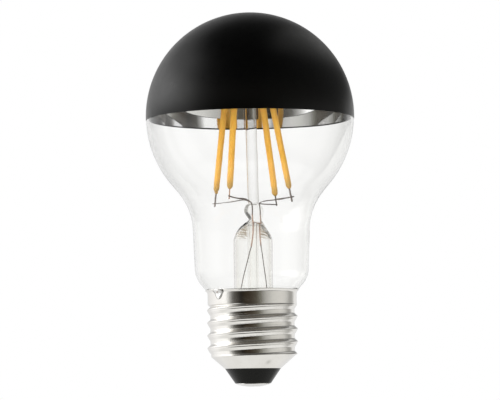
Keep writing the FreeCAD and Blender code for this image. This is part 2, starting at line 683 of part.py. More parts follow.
def build():
    """Every piece by name. What is sealed into a piece is cut out of it, so that they meet."""
    pieces = {}
    glass = glass_block()
    pieces["glass_envelope"] = glass_envelope()
    pieces["black_dome_coat"] = dome_coat(GLOBE_RADIUS + BLACK_COAT, BLACK_COAT)
    pieces["mirror_dome_coat"] = dome_coat(GLOBE_RADIUS - GLASS_WALL, MIRROR_COAT)

    lead_left = arm("front_left", LEFT_SEAL, 53.95, LEAD_WIRE, 1.6)
    lead_right = arm("front_right", RIGHT_SEAL, 53.45, LEAD_WIRE, 1.9)
    branch_left_way = [
        (Vector(0.2, -1.75, 52.7), 0),
        (Vector(-0.7, -1.3, 53.4), 0.5),
        (Vector(-2.2, -0.9, 53.85), 1.0),
    ]
    branch_right_way = [(Vector(2.25, 1.1, 52.55), 0), (Vector(2.9, 2.2, 52.8), 0.6)]
    branch_left = branch("back_left", branch_left_way, BRANCH_WIRE).cut(lead_left)
    branch_right = branch("back_right", branch_right_way, BRANCH_WIRE).cut(lead_right)
    link_front = link("front_left", "front_right", -1.0)
    link_back = link("back_left", "back_right", 1.0)
    pieces["lead_wire_left"] = lead_left
    pieces["lead_wire_right"] = lead_right
    pieces["branch_wire_left"] = branch_left
    pieces["branch_wire_right"] = branch_right
    pieces["link_wire_front"] = link_front
    pieces["link_wire_back"] = link_back

    feet = {
        "front_left": (lead_left, LEFT_SEAL),
        "front_right": (lead_right, RIGHT_SEAL),
        "back_left": (branch_left, branch_left_way[-1][0]),
        "back_right": (branch_right, branch_right_way[-1][0]),
    }
    heads = {
        "front_left": (link_front, ROD_HEAD + Vector(-1.2, -1.0, 0)),
        "front_right": (link_front, ROD_HEAD + Vector(1.2, -1.0, 0)),
        "back_left": (link_back, ROD_HEAD + Vector(-1.2, 1.0, 0)),
        "back_right": (link_back, ROD_HEAD + Vector(1.2, 1.0, 0)),
    }
    for name in FILAMENT_FEET:
        pieces["filament_" + name] = led_filament(name)
        wire, start = feet[name]
        pieces["foot_tab_" + name] = filament_tab(name, False, start, wire)
        wire, start = heads[name]
        pieces["head_tab_" + name] = filament_tab(name, True, start, wire)

    left_way = [LEFT_SEAL, Vector(0.5, -1.9, 45.5), Vector(0.35, -2.0, 43.2), Vector(-0.05, -2.1, 40.0)]
    right_way = [RIGHT_SEAL, Vector(2.45, 1.15, 45.0), Vector(2.7, 1.2, 40.3)]
    seal_left = bent_wire([(point, SEAL_BEND) for point in left_way], LEAD_WIRE).cut(lead_left)
    seal_right = bent_wire([(point, SEAL_BEND) for point in right_way], LEAD_WIRE).cut(lead_right)
    pieces["seal_wire_left"] = seal_left
    pieces["seal_wire_right"] = seal_right
    left_way = [left_way[-1], Vector(-1.35, -2.2, 35.3), Vector(-3.05, -2.6, 28.3)]
    right_way = [right_way[-1], Vector(3.4, 1.2, 35.7), Vector(4.3, 0.8, 28.3)]
    pieces["outer_lead_left"] = outer_lead(left_way, Vector(-4.4, -3.6, 0)).cut(seal_left)
    pieces["outer_lead_right"] = outer_lead(right_way, Vector(5.2, -0.6, 0)).cut(seal_right)

    tube = exhaust_tube()
    rod = centre_rod([link_front, link_back])
    pieces["exhaust_tube"] = tube
    pieces["centre_rod"] = rod
    hole_foot = STEM_SHIFT + Vector(0, 0, FLARE_TOP_Z)
    tube_hole = Part.makeCylinder(EXHAUST_RADIUS, EXHAUST_TOP_Z - FLARE_TOP_Z, hole_foot)
    pieces["stem_flare"] = stem_flare([tube_hole, rod, lead_left, lead_right, seal_left, seal_right])

    board = driver_board()
    wire = side_wire().cut(board)
    pieces["side_wire"] = wire
    pieces["cap_shell"] = cap_shell()
    pieces["cap_cement"] = cap_cement(glass, wire)
    pieces["side_solder"] = side_solder(cap_block(), glass, wire)
    pieces["insulator"] = insulator()
    pieces["centre_contact"] = centre_contact()

    pieces["driver_board"] = board
    pieces["bridge_rectifier"] = chip(4.7, 3.9, 1.6, -6.6, 0.6, 90)
    pieces["driver_chip"] = chip(3.0, 2.6, 1.3, -0.6, -6.6, 0)
    pieces["smoothing_capacitor"] = smoothing_capacitor()
    pieces["drum_coil"] = drum_coil()
    pieces["fuse_resistor"] = fuse_resistor()
    live_length = board_top() + LIVE_WIRE_OVER_BOARD - LIVE_WIRE_FOOT_Z
    live = Part.makeCylinder(OUTER_WIRE, live_length, Vector(0, 0, LIVE_WIRE_FOOT_Z))
    pieces["live_wire"] = live
    solder = Part.makeCylinder(EYELET_BORE, EYELET_TOP_Z - CONTACT_SHEET, Vector(0, 0, CONTACT_SHEET))
    pieces["contact_solder"] = solder.cut(live)
    return pieces


os.makedirs("parts", exist_ok=True)
for node, shape in build().items():
    solids = shape.Solids
    solid = solids[0] if len(solids) == 1 else shape
    box = solid.BoundBox
    print(node, "solids", len(solids), "valid", solid.isValid(), "volume", round(solid.Volume, 3),
          "z", round(box.ZMin, 2), round(box.ZMax, 2))
    solid.exportStep("parts/" + node + ".step")
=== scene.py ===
import json
import math
import bpy
import numpy as np
from mathutils import Matrix, Vector


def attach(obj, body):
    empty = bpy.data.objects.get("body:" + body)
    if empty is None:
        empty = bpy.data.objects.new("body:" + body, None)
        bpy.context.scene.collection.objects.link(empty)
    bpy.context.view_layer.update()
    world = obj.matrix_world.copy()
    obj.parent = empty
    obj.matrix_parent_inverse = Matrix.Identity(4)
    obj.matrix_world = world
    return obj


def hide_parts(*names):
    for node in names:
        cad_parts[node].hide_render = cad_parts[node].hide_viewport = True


# A clear LED filament bulb with a coated dome, held cap down before a white background.
# Shapes are written in millimetres, with the lamp axis on Z, and become metres in the meshes.

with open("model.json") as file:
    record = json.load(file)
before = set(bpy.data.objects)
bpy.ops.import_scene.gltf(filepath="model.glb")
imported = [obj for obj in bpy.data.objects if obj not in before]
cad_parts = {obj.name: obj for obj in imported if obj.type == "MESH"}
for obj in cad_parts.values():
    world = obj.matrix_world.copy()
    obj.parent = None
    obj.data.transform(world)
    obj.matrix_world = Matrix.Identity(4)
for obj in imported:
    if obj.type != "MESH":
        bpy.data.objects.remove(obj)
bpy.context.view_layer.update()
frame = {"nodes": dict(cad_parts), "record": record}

MM = 0.001                  # metres

# Glass and coats
GLASS_LEVEL = 77.7          # centre of the globe
GLOBE = 30.0                # outer radius of the globe
WALL = 0.7
COAT_EDGE = 76.8            # level of the black coat's edge
BLACK_COAT = 0.065
MIRROR_COAT = 0.06
CLEARANCE = 0.01            # between a coat and the glass
STEM_X = 0.43               # how far the stem stands beside the axis

# Screw cap, from its foot up
CAP_SHEET = 0.25
CONE_FOOT = 5.15            # level of the cone's lower edge
CONE_END = 8.05             # radius of that edge
CONE_SLOPE = 1.15           # growth of the cone's radius with its level
THREAD_FOOT = 8.4
FIRST_CREST = 9.2           # level of the lowest crest at angle 0
PITCH = 3.629
CREST = 13.03               # radius
ROOT = 12.1
UPPER_FLANK = 0.80          # length of the flank over a crest, along the axis
LOWER_FLANK = 1.40          # length of the flank under a crest
CREST_ROUND = 0.08
GROOVE_ROUND = 0.12         # as a share of the flank
FLANK_STEP = 0.085
ROLLING_MARKS = 0.008
THREAD_END = (22.8, 23.55)  # levels between which the thread fades into the collar
COLLAR_FOOT = 23.6
COLLAR = 12.8               # radius
RIM_BEND = 26.95            # level from which the rim flares
RIM_TOP = 27.58

# Filaments
FILAMENT = 34.0             # length
HEAD_RING = 6.5             # radius of the ring that the heads stand on
HEAD_RING_X = -0.8          # middle of that ring

# Wires
WIRE_COLUMNS = 14
ASIDE = np.array([0.31, 0.42, 0.17])  # a direction in which no wire runs


# Meshes from grids

def skin(rows, columns, poles):
    """Point numbers of a grid whose columns run round, and the faces between its rows.

    Poles say whether the first and the last row are one point. With None the last row joins the first.
    """
    numbers = np.arange(rows * columns).reshape(rows, columns)
    for row, closed in zip((0, -1), poles or ()):
        if closed:
            numbers[row] = numbers[row, 0]
    below = numbers[:-1] if poles else numbers
    above = numbers[1:] if poles else np.roll(numbers, -1, axis=0)
    a, b = below, np.roll(below, -1, axis=1)
    d, c = above, np.roll(above, -1, axis=1)
    quads = np.stack([a, b, c, d], axis=-1).reshape(-1, 4)
    flat_start = quads[:, 0] == quads[:, 1]
    flat_end = quads[:, 2] == quads[:, 3]
    triangles = np.concatenate([quads[flat_start][:, [0, 2, 3]], quads[flat_end][:, [0, 1, 2]]])
    return quads[~flat_start & ~flat_end], triangles


def new_object(name, data):
    """An object in the scene."""
    made = bpy.data.objects.new(name, data)
    bpy.context.scene.collection.objects.link(made)
    return made


def grid_piece(name, points, material, stands_for, poles=(True, True), sharp=None):
    """A piece on the lamp's body, faces outwards, from a grid (rows, columns, 3) in millimetres."""
    quads, triangles = skin(*points.shape[:2], poles)
    used, back = np.unique(np.concatenate([quads.ravel(), triangles.ravel()]), return_inverse=True)
    flat = points.reshape(-1, 3)[used] * MM
    quads, triangles = back[:quads.size].reshape(-1, 4), back[quads.size:].reshape(-1, 3)
    halves = np.concatenate([quads[:, [0, 1, 2]], quads[:, [0, 2, 3]], triangles])
    corner = flat[halves]
    volume = np.einsum("ij,ij->i", corner[:, 0], np.cross(corner[:, 1], corner[:, 2])).sum()
    if volume < 0:
        quads = quads[:, ::-1]
        triangles = triangles[:, ::-1]
    mesh = bpy.data.meshes.new(name)
    mesh.from_pydata(flat.tolist(), [], quads.tolist() + triangles.tolist())
    mesh.update()
    mesh.shade_smooth()
    if sharp:
        mesh.set_sharp_from_angle(angle=math.radians(sharp))
    mesh.materials.append(material)
    piece = new_object(name, mesh)
    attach(piece, "root")
    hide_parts(*stands_for)
    return piece


def mark_points(piece, attribute, share_of):
    """Gives each point of a piece a value from 0 to 1, worked out from its place in millimetres."""
    place = np.empty(len(piece.data.vertices) * 3)
    piece.data.vertices.foreach_get("co", place)
    value = share_of(*(place.reshape(-1, 3).T / MM)).astype(np.float32)
    piece.data.attributes.new(attribute, "FLOAT", "POINT").data.foreach_set("value", value)


def around(columns):
    """Angles of the columns of a grid that runs once round."""
    return np.linspace(0, 2 * np.pi, columns, endpoint=False)


def away_from(angle, degrees):
    """How far angles lie from a direction in degrees, the short way round."""
    return np.mod(angle - math.radians(degrees) + np.pi, 2 * np.pi) - np.pi


def ring_points(radius, angle, level, shift=(0, 0)):
    """Points at radius times cosine and sine of the angle, round the axis or one shifted from it."""
    across = shift[0] + radius * np.cos(angle)
    deep = shift[1] + radius * np.sin(angle)
    return np.stack([across, deep, np.broadcast_to(level, across.shape)], axis=-1)


def turned(line, angle):
    """Points of a line (radius, level) turned through the angles."""
    return ring_points(line[:, :1], angle, line[:, 1:])


def pole(point, columns):
    """A row of a grid that is all at one point."""
    return np.broadcast_to(point, (1, columns, 3))


def soft_square(angle, power):
    """Radius of a square with rounded corners and a half side of 1, sharper with a higher power."""
    return (np.abs(np.cos(angle)) ** power + np.abs(np.sin(angle)) ** power) ** (-1 / power)


def unit(vector):
    """A vector of length 1 in the same direction."""
    return vector / np.linalg.norm(vector)


def rounded_line(corners, step=0.4):
    """Radius and level along straight runs through corners (radius, level, bend), a bend being an arc."""
    pieces = [np.array([corners[0][:2]], float)]
    for before, here, after in zip(corners, corners[1:], corners[2:]):
        corner = np.array(here[:2], float)
        into = unit(corner - np.array(before[:2], float))
        out = unit(np.array(after[:2], float) - corner)
        turn = math.acos(float(np.clip(into @ out, -1, 1)))
        bend = here[2]
        if bend <= 0 or turn < 1e-4:
            pieces.append(corner[None])
            continue
        share = np.linspace(-turn / 2, turn / 2, max(4, math.ceil(turn / 0.12)))[:, None]
        middle = unit(out - into)
        along = unit(out + into)
        centre = corner + middle * bend / math.cos(turn / 2)
        pieces.append(centre - middle * bend * np.cos(share) + along * bend * np.sin(share))
    pieces.append(np.array([corners[-1][:2]], float))
    line = np.concatenate(pieces)
    length = np.concatenate([[0], np.cumsum(np.linalg.norm(np.diff(line, axis=0), axis=1))])
    extra = [np.linspace(a, b, max(2, int((b - a) / step) + 1))[:-1] for a, b in zip(length, length[1:])]
    spots = np.concatenate(extra + [[length[-1]]])
    return np.stack([np.interp(spots, length, line[:, 0]), np.interp(spots, length, line[:, 1])], axis=-1)


def smooth_step(value, low, high):
    """0 below low, 1 above high, and a smooth step between."""
    share = np.clip((value - low) / (high - low), 0, 1)
    return share * share * (3 - 2 * share)


def ripple(angle, level, seed, size):
    """A small irregular height: a few sines round the axis and along it, with phases from the seed."""
    phases = np.random.default_rng(seed).uniform(0, 2 * np.pi, 8)
    wave = np.zeros(np.broadcast(angle, level).shape)
    for number in range(4):
        turns = number + 1
        wave = wave + np.sin(turns * angle + phases[number] + level * 0.13 * turns) / turns
        climb = level * (0.21 + 0.17 * number) + phases[4 + number]
        wave = wave + 0.7 * np.sin(climb + (number % 3) * angle)
    return wave * size / 3


def tube(path, radius):
    """Points round a path (rows, 3): at each row a circle square to the path, and one point at each end.

    The circle's first direction is the path's own crossed with ASIDE, and its radius is given for each row.
    """
    along = np.gradient(path, axis=0)
    along /= np.linalg.norm(along, axis=1)[:, None]
    side = np.cross(along, ASIDE)
    side /= np.linalg.norm(side, axis=1)[:, None]
    other = np.cross(along, side)
    angle = around(WIRE_COLUMNS)[:, None]
    circle = side[:, None, :] * np.cos(angle) + other[:, None, :] * np.sin(angle)
    rings = path[:, None, :] + circle * radius[:, None, None]
    return np.concatenate([pole(path[0], WIRE_COLUMNS), rings, pole(path[-1], WIRE_COLUMNS)])


def curve_through(points, count):
    """A smooth path through points: a Catmull-Rom spline with chord-length parameters."""
    points = np.asarray(points, float)
    first = 2 * points[0] - points[1]
    last = 2 * points[-1] - points[-2]
    knots = np.concatenate([[first], points, [last]])
    chord = np.sqrt(np.linalg.norm(np.diff(knots, axis=0), axis=1))
    time = np.concatenate([[0], np.cumsum(chord)])
    spots = np.linspace(time[1], time[-2] - 1e-9, count)
    span = np.clip(np.searchsorted(time, spots, side="right") - 1, 1, len(knots) - 3)

    def blend_of(a, b, time_a, time_b):
        """Straight from a to b, as each spot goes from time_a to time_b."""
        share = ((spots - time_a) / (time_b - time_a))[:, None]
        return a * (1 - share) + b * share

    t0, t1, t2, t3 = (time[span + shift] for shift in (-1, 0, 1, 2))
    p0, p1, p2, p3 = (knots[span + shift] for shift in (-1, 0, 1, 2))
    a1, a2, a3 = blend_of(p0, p1, t0, t1), blend_of(p1, p2, t1, t2), blend_of(p2, p3, t2, t3)
    return blend_of(blend_of(a1, a2, t0, t2), blend_of(a2, a3, t1, t3), t1, t2)


# Material helpers

def new_material(name):
    """A node material with one Principled shader."""
    material = bpy.data.materials.new(name)
    material.use_nodes = True
    return material, material.node_tree, material.node_tree.nodes["Principled BSDF"]


def feed(tree, node, values):
    """Gives a node's input sockets, by name or number, their own values or links from other sockets."""
    for key, value in values.items():
        if isinstance(value, bpy.types.NodeSocket):
            tree.links.new(value, node.inputs[key])
        else:
            node.inputs[key].default_value = value


def add_node(tree, kind, values=None, **settings):
    """A node with its settings, and with values or links for its input sockets."""
    node = tree.nodes.new(kind)
    for key, value in settings.items():
        setattr(node, key, value)
    feed(tree, node, values or {})
    return node


def maths(tree, operation, *values):
    """The result of a maths node on values or sockets."""
    return add_node(tree, "ShaderNodeMath", dict(enumerate(values)), operation=operation).outputs[0]


def spread(tree, value, low, high, kind="LINEAR"):
    """Share from 0 to 1 as a socket's value goes from low to high, evenly or by a smooth step."""
    values = {"Value": value, "From Min": low, "From Max": high}
    return add_node(tree, "ShaderNodeMapRange", values, interpolation_type=kind).outputs["Result"]


def colour_mix(tree, share, first, second):
    """From one colour to another by a share; a colour is a socket or three plain values."""
    first, second = ((*colour, 1) if isinstance(colour, tuple) else colour for colour in (first, second))
    values = {"Factor": share, "A": first, "B": second}
    return add_node(tree, "ShaderNodeMix", values, data_type="RGBA").outputs["Result"]


def new_group(name, inputs, outputs):
    """An empty shader group with float or colour sockets: (name, kind, value)."""
    group = bpy.data.node_groups.new(name, "ShaderNodeTree")
    for label, kind, value in inputs:
        socket = group.interface.new_socket(name=label, in_out="INPUT", socket_type=kind)
        socket.default_value = value
    for label, kind in outputs:
        group.interface.new_socket(name=label, in_out="OUTPUT", socket_type=kind)
    return group, group.nodes.new("NodeGroupInput").outputs, group.nodes.new("NodeGroupOutput")


def grain_group():
    """Fine uneven grain: two noises added, as a height and as a mask between two values."""
    group, given, made = new_group(
        "fine_grain",
        [("Vector", "NodeSocketVector", (0, 0, 0)), ("Size", "NodeSocketFloat", 1000.0),
         ("Low", "NodeSocketFloat", 0.3), ("High", "NodeSocketFloat", 0.5)],
        [("Height", "NodeSocketFloat"), ("Value", "NodeSocketFloat")])
    fine = add_node(group, "ShaderNodeTexNoise", {
        "Vector": given["Vector"], "Scale": given["Size"], "Detail": 3.0, "Roughness": 0.6})
    coarse = add_node(group, "ShaderNodeTexNoise", {
        "Vector": given["Vector"], "Scale": maths(group, "MULTIPLY", given["Size"], 0.17), "Detail": 2.0})
    mixed = add_node(group, "ShaderNodeMix", {
        0: 0.45, "A": fine.outputs["Fac"], "B": coarse.outputs["Fac"]}, data_type="FLOAT")
    height = mixed.outputs["Result"]
    between = add_node(group, "ShaderNodeMapRange", {
        "Value": height, "From Min": 0.3, "From Max": 0.7, "To Min": given["Low"], "To Max": given["High"]})
    feed(group, made, {"Height": height, "Value": between.outputs["Result"]})
    return group


GRAIN = grain_group()


def grained(tree, shader, size, low, high, bump, distance):
    """Grain on a shader, from Object coordinates: roughness between low and high, and a bump."""
    place = add_node(tree, "ShaderNodeTexCoord").outputs["Object"]
    grain = add_node(tree, "ShaderNodeGroup", {"Vector": place, "Size": size, "Low": low, "High": high},
                     node_tree=GRAIN)
    height = grain.outputs["Height"]
    raised = add_node(tree, "ShaderNodeBump", {"Strength": bump, "Distance": distance, "Height": height})
    feed(tree, shader, {"Roughness": grain.outputs["Value"], "Normal": raised.outputs["Normal"]})
    return place, height


def glass_material(name, clear, edge, blend, bending):
    """Clear glass whose colour darkens to a painted edge shade where it is seen edge-on, and which lets
    shadow rays through.
    """
    material, tree, shader = new_material(name)
    facing = add_node(tree, "ShaderNodeLayerWeight", {"Blend": blend})
    path = add_node(tree, "ShaderNodeLightPath")
    light_ray = maths(tree, "MAXIMUM", path.outputs["Is Shadow Ray"], path.outputs["Is Diffuse Ray"])
    # Painted shade: the base colour goes towards the edge colour where the glass is seen edge-on.
    feed(tree, shader, {
        "Base Color": colour_mix(tree, facing.outputs["Facing"], clear, edge), "Roughness": 0.0,
        "IOR": bending, "Transmission Weight": 1.0, "Alpha": maths(tree, "SUBTRACT", 1.0, light_ray)})
    return material


def metal_material(name, colour, dark, size, low, high, bump, distance=0.00002):
    """Bare or plated metal: its colour wanders to a darker one with a stain coarser than the grain."""
    material, tree, shader = new_material(name)
    place, _ = grained(tree, shader, size, low, high, bump, distance)
    stain = add_node(tree, "ShaderNodeTexNoise", {"Vector": place, "Scale": size * 0.04, "Detail": 4.0})
    share = spread(tree, stain.outputs["Fac"], 0.35, 0.75)
    feed(tree, shader, {"Base Color": colour_mix(tree, share, colour, dark), "Metallic": 1.0})
    return material


def dull_material(name, colour, other, size, low, high, bump, distance=0.00003, specular=0.5):
    """A coat, moulding or cement: its colour wanders between two tones with the grain."""
    material, tree, shader = new_material(name)
    _, height = grained(tree, shader, size, low, high, bump, distance)
    tone = colour_mix(tree, spread(tree, height, 0.35, 0.65), colour, other)
    feed(tree, shader, {"Base Color": tone, "Specular IOR Level": specular})
    return material


def tint_by(material, attribute, colour):
    """Turns a material to another colour as far as the surface's own attribute says."""
    tree = material.node_tree
    shader = tree.nodes["Principled BSDF"]
    plain = shader.inputs["Base Color"].links[0].from_socket
    share = add_node(tree, "ShaderNodeAttribute", attribute_name=attribute)
    feed(tree, shader, {"Base Color": colour_mix(tree, share.outputs["Fac"], plain, colour)})


def phosphor_material():
    """Yellow-orange phosphor, a little greener and darker where it thins at a filament's ends."""
    material = dull_material("phosphor", (0.84, 0.47, 0.075), (0.76, 0.39, 0.055),
                             2600.0, 0.5, 0.7, 0.35, 0.00002)
    tint_by(material, "end_share", (0.45, 0.27, 0.06))
    feed(material.node_tree, material.node_tree.nodes["Principled BSDF"], {
        "Subsurface Weight": 0.15, "Subsurface Radius": (0.001, 0.0005, 0.0002), "Subsurface Scale": 0.3})
    return material


# Glass: colour seen straight, painted shade colour seen edge-on, blend, index. The others: two colours,
# scale of the grain, lowest and highest roughness, strength of the bump, and where it differs the bump's
# distance.
CLEAR_GLASS = glass_material("clear_glass", (1.0, 1.0, 0.995), (0.74, 0.74, 0.72), 0.15, 1.30)
STEM_GLASS = glass_material("stem_glass", (1.0, 1.0, 0.99), (0.46, 0.43, 0.38), 0.13, 1.18)
ROD_GLASS = glass_material("rod_glass", (0.99, 0.99, 0.985), (0.17, 0.14, 0.10), 0.34, 1.24)
BLACK = dull_material("black_coat", (0.0003, 0.0003, 0.0003), (0.0006, 0.0006, 0.0005),
                      2600.0, 0.26, 0.36, 0.12, specular=0.17)
MIRROR = metal_material("mirror_coat", (0.86, 0.86, 0.86), (0.80, 0.80, 0.81), 900.0, 0.015, 0.05, 0.01)
NICKEL = metal_material("nickel_sheet", (0.78, 0.765, 0.74), (0.70, 0.68, 0.65),
                        3800.0, 0.05, 0.12, 0.6, 0.00006)
CEMENT = dull_material("cement", (0.62, 0.58, 0.50), (0.45, 0.42, 0.36), 1800.0, 0.8, 0.95, 0.8, 0.0001)
SOLDER = metal_material("solder", (0.84, 0.84, 0.83), (0.74, 0.73, 0.72), 1500.0, 0.42, 0.58, 0.3, 0.00004)
INSULATOR = dull_material("black_insulator", (0.0018, 0.0018, 0.0012), (0.0032, 0.0032, 0.0022),
                          2400.0, 0.20, 0.30, 0.2, specular=0.17)
CONTACT = metal_material("contact_metal", (0.86, 0.86, 0.84), (0.76, 0.75, 0.73), 1800.0, 0.18, 0.34, 0.3)
NICKEL_WIRE = dull_material("nickel_wire", (0.17, 0.145, 0.13), (0.10, 0.085, 0.075),
                            2600.0, 0.35, 0.55, 0.4)
COPPER_WIRE = dull_material("copper_wire", (0.52, 0.35, 0.27), (0.30, 0.20, 0.16), 2200.0, 0.3, 0.5, 0.3)
TAB_METAL = metal_material("filament_tab", (0.28, 0.24, 0.22), (0.16, 0.135, 0.125), 3000.0, 0.3, 0.45, 0.3)
COPPER_TAB = dull_material("copper_tab", (0.52, 0.32, 0.22), (0.36, 0.21, 0.14), 3000.0, 0.3, 0.45, 0.3)
BOARD = dull_material("board", (0.03, 0.16, 0.06), (0.04, 0.20, 0.08), 1200.0, 0.35, 0.5, 0.3)
PACKAGE = dull_material("black_package", (0.012, 0.012, 0.013), (0.02, 0.02, 0.02), 2500.0, 0.5, 0.65, 0.5)
CAN = dull_material("capacitor_can", (0.02, 0.022, 0.035), (0.03, 0.032, 0.05), 900.0, 0.25, 0.35, 0.1)
WINDING = dull_material("coil_winding", (0.10, 0.045, 0.02), (0.16, 0.075, 0.03), 2200.0, 0.4, 0.6, 0.6)
RESISTOR = dull_material("resistor_coat", (0.27, 0.36, 0.40), (0.33, 0.42, 0.46), 1500.0, 0.5, 0.7, 0.3)
PHOSPHOR = phosphor_material()
# Brownish streaks towards the stem's left and right sides along X.
tint_by(STEM_GLASS, "side_streaks", (0.42, 0.35, 0.26))
# Painted shade: the cap's sheet greys round the punched dimple, by the mark attribute.
tint_by(NICKEL, "mark", (0.46, 0.45, 0.42))
# Painted shade: the solder drop greys at its thin edges.
tint_by(SOLDER, "drop_edge_shade", (0.40, 0.39, 0.37))

# Every slot of the record has a finish of the same name, but for the number that Blender may add.
FINISHES = {finish.name.split(".")[0]: finish for finish in (
    CLEAR_GLASS, STEM_GLASS, BLACK, MIRROR, NICKEL, CEMENT, SOLDER, INSULATOR, CONTACT, NICKEL_WIRE,
    COPPER_WIRE, PHOSPHOR, TAB_METAL, BOARD, PACKAGE, CAN, WINDING, RESISTOR)}
for part in frame["record"]["subparts"]:
    carried = frame["nodes"][part["node"]]
    carried.data.materials.clear()
    carried.data.materials.append(FINISHES[part["material_slot"]])


# Glass

def glass_line():
    """Outside of the glass from the top of the globe to the neck's end: an arc, then runs and bends.

    The cone goes on straight from the arc. The throat and the shoulder are runs of a given slope
    through a given point, and they meet the cone and each other in bends.
    """
    cone = math.radians(39.7)
    cone_slope = math.tan(cone)
    throat_slope = math.tan(math.radians(2.1))
    throat, throat_level = 16.8, 44.7
    shoulder_slope = math.tan(math.radians(40.0))
    shoulder, shoulder_level = 13.35, 27.72
    neck, neck_end = 11.6, 11.0
    turn = np.linspace(np.pi / 2, -cone, 120)
    globe = np.stack([GLOBE * np.cos(turn), GLASS_LEVEL + GLOBE * np.sin(turn)], axis=-1)
    globe[0, 0] = 0
    leaves = globe[-1]
    top = (throat - throat_slope * throat_level - leaves[0] + cone_slope * leaves[1]) / (
        cone_slope - throat_slope)
    foot = (shoulder - shoulder_slope * shoulder_level - throat + throat_slope * throat_level) / (
        throat_slope - shoulder_slope)
    below = rounded_line([
        (leaves[0], leaves[1], 0),
        (leaves[0] - (leaves[1] - top) * cone_slope, top, 17.8),
        (throat + (foot - throat_level) * throat_slope, foot, 7.3),
        (neck, shoulder_level - (shoulder - neck) / shoulder_slope, 1.2),
        (neck_end, 21.5, 3.0),
        (neck_end, 19.5, 0),
    ])
    return np.concatenate([globe, below[1:]])


def inwards(line, distance):
    """A line moved square to itself towards the axis side: each point along its own normal."""
    along = np.gradient(line, axis=0)
    along /= np.linalg.norm(along, axis=1)[:, None]
    normal = np.stack([along[:, 1], -along[:, 0]], axis=-1)
    moved = line + normal * distance
    moved[0, 0] = max(moved[0, 0], 0) if line[0, 0] > 0 else 0
    return moved


def make_envelope():
    """The blown glass: outside, then one wall further in, whose thickness wanders a little."""
    angle = around(160)
    outer = glass_line()
    inner = inwards(outer, WALL)[::-1]
    radius, level = inner[:, :1], inner[:, 1:]
    inside = turned(inner, angle)
    wander = ripple(angle[None, :], level, 5, 0.05)
    wander = wander * smooth_step(level, 22, 34) * (1 - smooth_step(level, 66, 74))
    inside[..., :2] *= (1 - wander / np.maximum(radius, 4))[..., None]
    points = np.concatenate([turned(outer, angle), inside])
    grid_piece("glass_bulb", points, CLEAR_GLASS, ("glass_envelope",))


def make_coat(name, outer_radius, thickness, edge_level, material, node, uneven):
    """A coat on the dome: two arcs from the top down to its edge, whose level wanders a little."""
    angle = around(256)
    share = np.linspace(0, 1, 96)[:, None]
    edge = edge_level + np.abs(ripple(angle * 3, 0 * angle, 11, uneven))
    edge = edge + 0.4 * uneven * np.abs(np.sin(41 * angle))

    def arc(radius, part):
        """One side of the coat: from the top down to the edge, by the part of that angle."""
        foot = np.arcsin((edge - GLASS_LEVEL) / radius)
        rise = np.pi / 2 + (foot - np.pi / 2) * part
        return ring_points(radius * np.cos(rise), angle, GLASS_LEVEL + radius * np.sin(rise))

    points = np.concatenate([arc(outer_radius, share), arc(outer_radius - thickness, share[::-1])])
    grid_piece(name, points, material, (node,), sharp=40)


make_envelope()
make_coat("black_coat", GLOBE + BLACK_COAT, BLACK_COAT - CLEARANCE, COAT_EDGE, BLACK,
          "black_dome_coat", 0.06)
make_coat("mirror_coat", GLOBE - WALL - CLEARANCE, MIRROR_COAT - CLEARANCE, COAT_EDGE + 0.35, MIRROR,
          "mirror_dome_coat", 0.03)


# Screw cap

def thread_radius(angle, level):
    """Outside of the rolled thread: right-handed crests over wide grooves, fading at both ends.

    A crest's lower flank is longer than its upper one. Along each flank the radius falls evenly, with a
    small round at the crest and at the groove. A small step stands in the lower flank, and fine marks of
    the rolling run along the groove.
    """
    start = CONE_END + CONE_SLOPE * (THREAD_FOOT - CONE_FOOT)
    middle = (CREST + ROOT) / 2
    low = np.clip((level - THREAD_FOOT) / (2 * (middle - start)), 0, 1)
    fading = smooth_step(level, *THREAD_END)
    base = middle - (middle - start) * (1 - low) ** 2 + (COLLAR - middle) * fading
    swell = smooth_step(level, THREAD_FOOT, 9.3) * (1 - fading)
    phase = 2 * np.pi * (level - FIRST_CREST) / PITCH - angle
    from_crest = away_from(phase, 0) * PITCH / (2 * np.pi)
    flank = np.where(from_crest < 0, LOWER_FLANK, UPPER_FLANK)
    left = 1 - (np.sqrt(from_crest ** 2 + CREST_ROUND ** 2) - CREST_ROUND) / flank
    wave = left + np.sqrt(left ** 2 + GROOVE_ROUND ** 2) - 1
    groove = ((1 - np.cos(phase)) / 2) ** 2
    marks = np.cos(6 * phase + 0.8 * np.sin(2 * angle + 0.4 * level))
    marks = marks * (0.7 + 0.3 * np.sin(3 * angle + level))
    step = smooth_step(-from_crest, 0.46, 0.64) - smooth_step(-from_crest, 1.0, 1.8)
    return base + swell * ((CREST - ROOT) / 2 * wave + ROLLING_MARKS * groove * marks + FLANK_STEP * step)


def from_dimple(angle, level):
    """Distance from the punched dimple's middle, in dimple widths; the dimple is wider than tall."""
    degrees, height, cone_radius, width = 296.3, 6.8, 10.3, 0.72
    return np.hypot(away_from(angle, degrees) * cone_radius, (level - height) * 1.414) / width


def cap_radius(angle, level):
    """Outside of the whole cap: cone, thread, collar and flared rim, with a punched dimple."""
    cone = CONE_END + CONE_SLOPE * (level - CONE_FOOT)
    over, bend, flare = level - RIM_BEND, 0.25, math.tan(math.radians(49))
    rim = COLLAR + (over + np.sqrt(over ** 2 + bend ** 2)) / 2 * flare
    body = np.where(level < THREAD_FOOT, cone, thread_radius(angle, level))
    body = np.where(level > COLLAR_FOOT, rim, body)
    return body - 0.055 * np.exp(-from_dimple(angle, level) ** 4)


